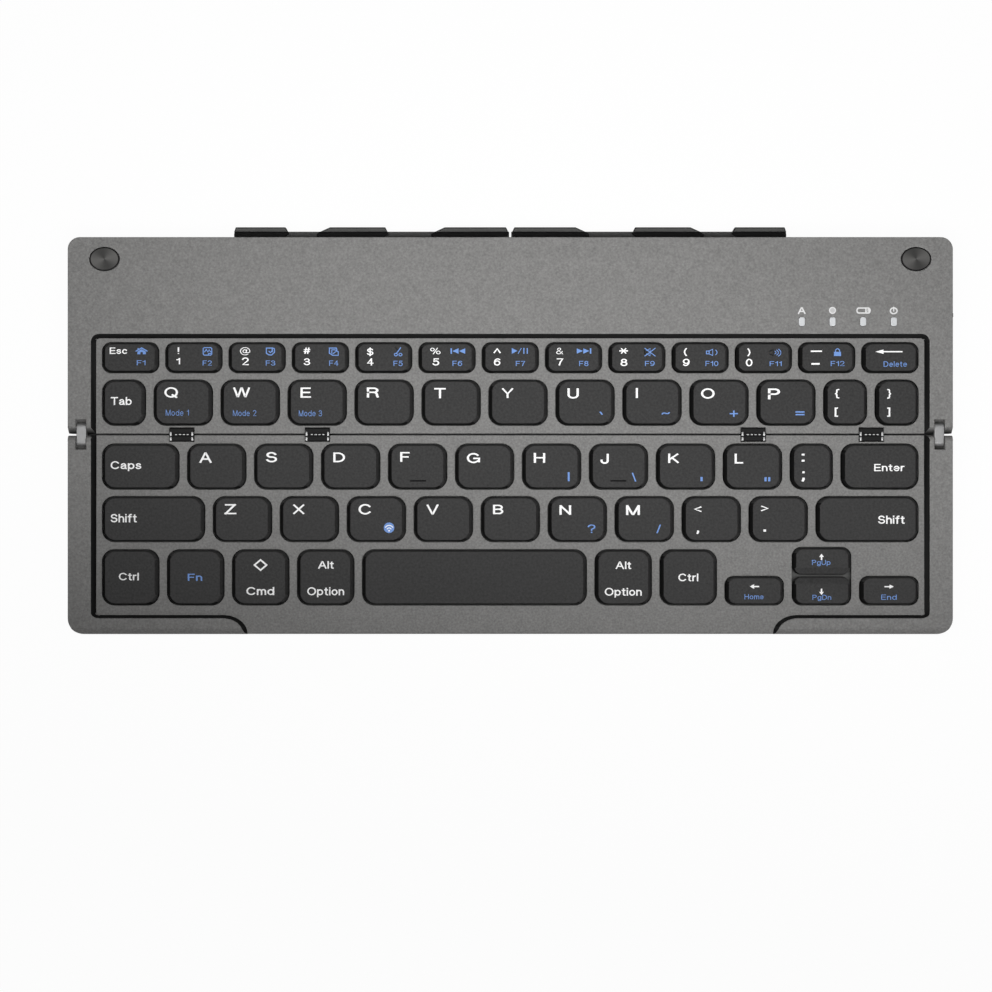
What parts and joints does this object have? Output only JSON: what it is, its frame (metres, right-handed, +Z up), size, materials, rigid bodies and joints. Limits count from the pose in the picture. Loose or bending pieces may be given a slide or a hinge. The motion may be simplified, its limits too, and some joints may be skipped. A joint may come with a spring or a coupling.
{
  "type": "folding keyboard",
  "caption": "Pocket keyboard in two halves that fold about twin pivots, with low black keys in a sunken grey deck, side links, status windows and fold-down rear feet.",
  "frame": {"origin": "on the table, under the middle of the fold between the two open halves", "axes": "+X to the right along the fold, +Y away from the typist, +Z up"},
  "size_m": [0.2509, 0.1157, 0.0074],
  "materials": {
    "case": "fine speckled grey satin paint",
    "keycap": "matte black with fine texture",
    "steel": "bright",
    "link": "light grey satin",
    "rubber": "matte black",
    "spun_disc": "dark, finely turned",
    "window": "milky",
    "knob": "matte black",
    "film": "translucent film",
    "silicone": "milky",
    "lever": "natural",
    "board": "solder mask",
    "foil": "foil pouch",
    "magnet": "nickel plated"
  },
  "bodies": {
    "rear_half": {"rear_top_cover": "case", "rear_bottom_cover": "case", "rear_base_plate": "steel", "rear_membrane": "film", "rear_dome_sheet": "silicone", "rear_scissors": "lever", "main_board": "board", "battery": "foil", "charge_port": "steel", "indicator_windows": "window", "corner_discs": "spun_disc", "rear_screws": "steel", "rear_feet": "rubber", "rear_hinge_pins": "steel", "stand_rod": "steel"},
    "hinge_links": {"side_links": "link", "seam_bridges": "rubber"},
    "front_half": {"front_top_cover": "case", "front_bottom_cover": "case", "front_base_plate": "steel", "front_membrane": "film", "front_dome_sheet": "silicone", "front_scissors": "lever", "corner_magnets": "magnet", "front_screws": "steel", "front_feet": "rubber", "front_hinge_pins": "steel"},
    "stand_left": {"stand_leaf_left": "case", "stand_grips_left": "rubber"},
    "stand_right": {"stand_leaf_right": "case", "stand_grips_right": "rubber"},
    "switch_knob": {"power_switch": "knob"},
    "space_wire": {"space_bar_wire": "steel"},
    "key_esc_body": {"key_esc": "keycap"},
    "keys_1_to_4_body": {"keys_1_to_4": "keycap"},
    "keys_5_to_8_body": {"keys_5_to_8": "keycap"},
    "keys_9_to_dash_body": {"keys_9_to_dash": "keycap"},
    "key_delete_body": {"key_delete": "keycap"},
    "key_tab_body": {"key_tab": "keycap"},
    "keys_q_to_t_body": {"keys_q_to_t": "keycap"},
    "keys_y_to_p_body": {"keys_y_to_p": "keycap"},
    "keys_brackets_body": {"keys_brackets": "keycap"},
    "key_caps_body": {"key_caps": "keycap"},
    "keys_a_to_g_body": {"keys_a_to_g": "keycap"},
    "keys_h_to_colon_body": {"keys_h_to_colon": "keycap"},
    "key_enter_body": {"key_enter": "keycap"},
    "key_shift_left_body": {"key_shift_left": "keycap"},
    "keys_z_to_b_body": {"keys_z_to_b": "keycap"},
    "keys_n_to_point_body": {"keys_n_to_point": "keycap"},
    "key_shift_right_body": {"key_shift_right": "keycap"},
    "key_ctrl_left_body": {"key_ctrl_left": "keycap"},
    "key_fn_body": {"key_fn": "keycap"},
    "key_cmd_body": {"key_cmd": "keycap"},
    "key_alts_body": {"key_alts": "keycap"},
    "key_space_body": {"key_space": "keycap"},
    "key_ctrl_right_body": {"key_ctrl_right": "keycap"},
    "key_left_body": {"key_left": "keycap"},
    "key_up_body": {"key_up": "keycap"},
    "key_down_body": {"key_down": "keycap"},
    "key_right_body": {"key_right": "keycap"}
  },
  "joints": [
    {"name": "link_fold", "type": "hinge", "parent": "rear_half", "child": "hinge_links", "pos_m": [0, 0.0021, 0.0054], "axis": [-1, 0, 0], "range_deg": [0, 90]},
    {"name": "front_fold", "type": "hinge", "parent": "hinge_links", "child": "front_half", "pos_m": [0, -0.0021, 0.0054], "axis": [-1, 0, 0], "range_deg": [0, 90]},
    {"name": "stand_left_swing", "type": "hinge", "parent": "rear_half", "child": "stand_left", "pos_m": [0, 0.0378, 0.0015], "axis": [-1, 0, 0], "range_deg": [0, 60]},
    {"name": "stand_right_swing", "type": "hinge", "parent": "rear_half", "child": "stand_right", "pos_m": [0, 0.0378, 0.0015], "axis": [-1, 0, 0], "range_deg": [0, 60]},
    {"name": "power_switch_slide", "type": "slide", "parent": "rear_half", "child": "switch_knob", "axis": [0, 1, 0], "range_m": [0, 0.002]},
    {"name": "press_esc", "type": "slide", "parent": "rear_half", "child": "key_esc_body", "axis": [0, 0, -1], "range_m": [0, 0.0012], "stiffness_N_per_m": 300, "springref_m": -0.001, "deforming": ["rear_dome_sheet", "rear_scissors"]},
    {"name": "press_1_to_4", "type": "slide", "parent": "rear_half", "child": "keys_1_to_4_body", "axis": [0, 0, -1], "range_m": [0, 0.0012], "stiffness_N_per_m": 1200, "springref_m": -0.001, "deforming": ["rear_dome_sheet", "rear_scissors"]},
    {"name": "press_5_to_8", "type": "slide", "parent": "rear_half", "child": "keys_5_to_8_body", "axis": [0, 0, -1], "range_m": [0, 0.0012], "stiffness_N_per_m": 1200, "springref_m": -0.001, "deforming": ["rear_dome_sheet", "rear_scissors"]},
    {"name": "press_9_to_dash", "type": "slide", "parent": "rear_half", "child": "keys_9_to_dash_body", "axis": [0, 0, -1], "range_m": [0, 0.0012], "stiffness_N_per_m": 900, "springref_m": -0.001, "deforming": ["rear_dome_sheet", "rear_scissors"]},
    {"name": "press_delete", "type": "slide", "parent": "rear_half", "child": "key_delete_body", "axis": [0, 0, -1], "range_m": [0, 0.0012], "stiffness_N_per_m": 300, "springref_m": -0.001, "deforming": ["rear_dome_sheet", "rear_scissors"]},
    {"name": "press_tab", "type": "slide", "parent": "rear_half", "child": "key_tab_body", "axis": [0, 0, -1], "range_m": [0, 0.0012], "stiffness_N_per_m": 300, "springref_m": -0.001, "deforming": ["rear_dome_sheet", "rear_scissors"]},
    {"name": "press_q_to_t", "type": "slide", "parent": "rear_half", "child": "keys_q_to_t_body", "axis": [0, 0, -1], "range_m": [0, 0.0012], "stiffness_N_per_m": 1500, "springref_m": -0.001, "deforming": ["rear_dome_sheet", "rear_scissors"]},
    {"name": "press_y_to_p", "type": "slide", "parent": "rear_half", "child": "keys_y_to_p_body", "axis": [0, 0, -1], "range_m": [0, 0.0012], "stiffness_N_per_m": 1500, "springref_m": -0.001, "deforming": ["rear_dome_sheet", "rear_scissors"]},
    {"name": "press_brackets", "type": "slide", "parent": "rear_half", "child": "keys_brackets_body", "axis": [0, 0, -1], "range_m": [0, 0.0012], "stiffness_N_per_m": 600, "springref_m": -0.001, "deforming": ["rear_dome_sheet", "rear_scissors"]},
    {"name": "press_caps", "type": "slide", "parent": "front_half", "child": "key_caps_body", "axis": [0, 0, -1], "range_m": [0, 0.0012], "stiffness_N_per_m": 300, "springref_m": -0.001, "deforming": ["front_dome_sheet", "front_scissors"]},
    {"name": "press_a_to_g", "type": "slide", "parent": "front_half", "child": "keys_a_to_g_body", "axis": [0, 0, -1], "range_m": [0, 0.0012], "stiffness_N_per_m": 1500, "springref_m": -0.001, "deforming": ["front_dome_sheet", "front_scissors"]},
    {"name": "press_h_to_colon", "type": "slide", "parent": "front_half", "child": "keys_h_to_colon_body", "axis": [0, 0, -1], "range_m": [0, 0.0012], "stiffness_N_per_m": 1500, "springref_m": -0.001, "deforming": ["front_dome_sheet", "front_scissors"]},
    {"name": "press_enter", "type": "slide", "parent": "front_half", "child": "key_enter_body", "axis": [0, 0, -1], "range_m": [0, 0.0012], "stiffness_N_per_m": 300, "springref_m": -0.001, "deforming": ["front_dome_sheet", "front_scissors"]},
    {"name": "press_shift_left", "type": "slide", "parent": "front_half", "child": "key_shift_left_body", "axis": [0, 0, -1], "range_m": [0, 0.0012], "stiffness_N_per_m": 300, "springref_m": -0.001, "deforming": ["front_dome_sheet", "front_scissors"]},
    {"name": "press_z_to_b", "type": "slide", "parent": "front_half", "child": "keys_z_to_b_body", "axis": [0, 0, -1], "range_m": [0, 0.0012], "stiffness_N_per_m": 1500, "springref_m": -0.001, "deforming": ["front_dome_sheet", "front_scissors"]},
    {"name": "press_n_to_point", "type": "slide", "parent": "front_half", "child": "keys_n_to_point_body", "axis": [0, 0, -1], "range_m": [0, 0.0012], "stiffness_N_per_m": 1200, "springref_m": -0.001, "deforming": ["front_dome_sheet", "front_scissors"]},
    {"name": "press_shift_right", "type": "slide", "parent": "front_half", "child": "key_shift_right_body", "axis": [0, 0, -1], "range_m": [0, 0.0012], "stiffness_N_per_m": 300, "springref_m": -0.001, "deforming": ["front_dome_sheet", "front_scissors"]},
    {"name": "press_ctrl_left", "type": "slide", "parent": "front_half", "child": "key_ctrl_left_body", "axis": [0, 0, -1], "range_m": [0, 0.0012], "stiffness_N_per_m": 300, "springref_m": -0.001, "deforming": ["front_dome_sheet", "front_scissors"]},
    {"name": "press_fn", "type": "slide", "parent": "front_half", "child": "key_fn_body", "axis": [0, 0, -1], "range_m": [0, 0.0012], "stiffness_N_per_m": 300, "springref_m": -0.001, "deforming": ["front_dome_sheet", "front_scissors"]},
    {"name": "press_cmd", "type": "slide", "parent": "front_half", "child": "key_cmd_body", "axis": [0, 0, -1], "range_m": [0, 0.0012], "stiffness_N_per_m": 300, "springref_m": -0.001, "deforming": ["front_dome_sheet", "front_scissors"]},
    {"name": "press_alts", "type": "slide", "parent": "front_half", "child": "key_alts_body", "axis": [0, 0, -1], "range_m": [0, 0.0012], "stiffness_N_per_m": 600, "springref_m": -0.001, "deforming": ["front_dome_sheet", "front_scissors"]},
    {"name": "press_space", "type": "slide", "parent": "front_half", "child": "key_space_body", "axis": [0, 0, -1], "range_m": [0, 0.0012], "stiffness_N_per_m": 300, "springref_m": -0.001, "deforming": ["front_dome_sheet", "front_scissors"]},
    {"name": "press_ctrl_right", "type": "slide", "parent": "front_half", "child": "key_ctrl_right_body", "axis": [0, 0, -1], "range_m": [0, 0.0012], "stiffness_N_per_m": 300, "springref_m": -0.001, "deforming": ["front_dome_sheet", "front_scissors"]},
    {"name": "press_left", "type": "slide", "parent": "front_half", "child": "key_left_body", "axis": [0, 0, -1], "range_m": [0, 0.0012], "stiffness_N_per_m": 300, "springref_m": -0.001, "deforming": ["front_dome_sheet", "front_scissors"]},
    {"name": "press_up", "type": "slide", "parent": "front_half", "child": "key_up_body", "axis": [0, 0, -1], "range_m": [0, 0.0012], "stiffness_N_per_m": 300, "springref_m": -0.001, "deforming": ["front_dome_sheet", "front_scissors"]},
    {"name": "press_down", "type": "slide", "parent": "front_half", "child": "key_down_body", "axis": [0, 0, -1], "range_m": [0, 0.0012], "stiffness_N_per_m": 300, "springref_m": -0.001, "deforming": ["front_dome_sheet", "front_scissors"]},
    {"name": "press_right", "type": "slide", "parent": "front_half", "child": "key_right_body", "axis": [0, 0, -1], "range_m": [0, 0.0012], "stiffness_N_per_m": 300, "springref_m": -0.001, "deforming": ["front_dome_sheet", "front_scissors"]},
    {"name": "space_wire_swing", "type": "hinge", "parent": "front_half", "child": "space_wire", "pos_m": [0, -0.0466, 0.00315], "axis": [-1, 0, 0], "range_deg": [0, 25]}
  ],
  "couplings": [
    {"joint": "front_fold", "follows": "link_fold", "ratio": 1},
    {"joint": "space_wire_swing", "follows": "press_space", "rad_per_m": 352.86}
  ]
}
